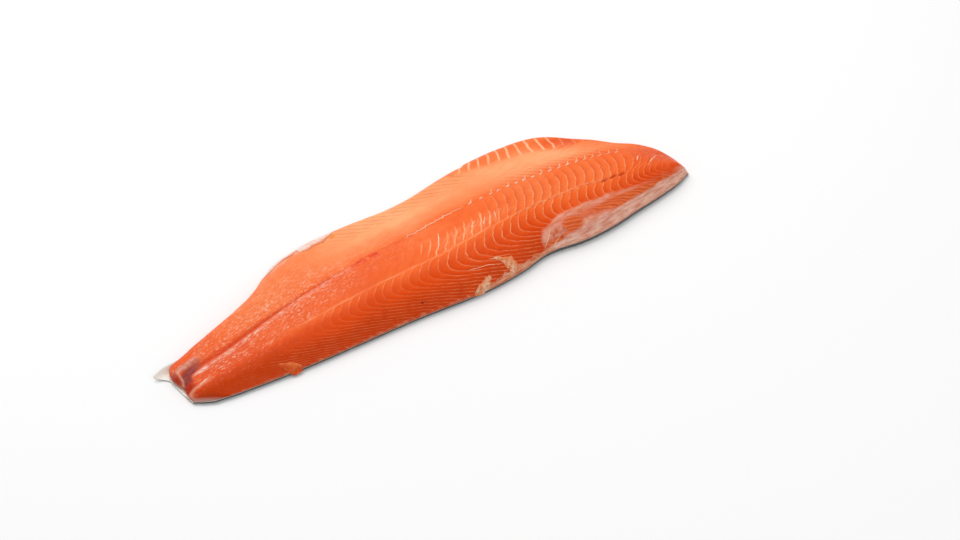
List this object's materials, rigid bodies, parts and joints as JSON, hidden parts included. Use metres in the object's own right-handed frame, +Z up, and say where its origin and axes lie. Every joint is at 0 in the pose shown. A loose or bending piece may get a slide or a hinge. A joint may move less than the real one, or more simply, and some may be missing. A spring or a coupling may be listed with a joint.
{
  "type": "salmon fillet",
  "caption": "Skin-on side of raw salmon lying skin down: narrow tail, swelling belly flap, slanting collar cut and pointed nape.",
  "frame": {"origin": "centre of the bounding box's base, on the surface that the skin rests on", "axes": "+X runs from the tail cut to the nape at the head end, +Y from the back to the belly, +Z up out of the flesh side; the skin faces down"},
  "size_m": [0.615, 0.1894, 0.0302],
  "materials": {
    "flesh": "raw orange flesh, wet and glossy",
    "skin": "silver-grey scaled fish skin, wet"
  },
  "bodies": {
    "root": {"fillet": "flesh"}
  },
  "joints": []
}
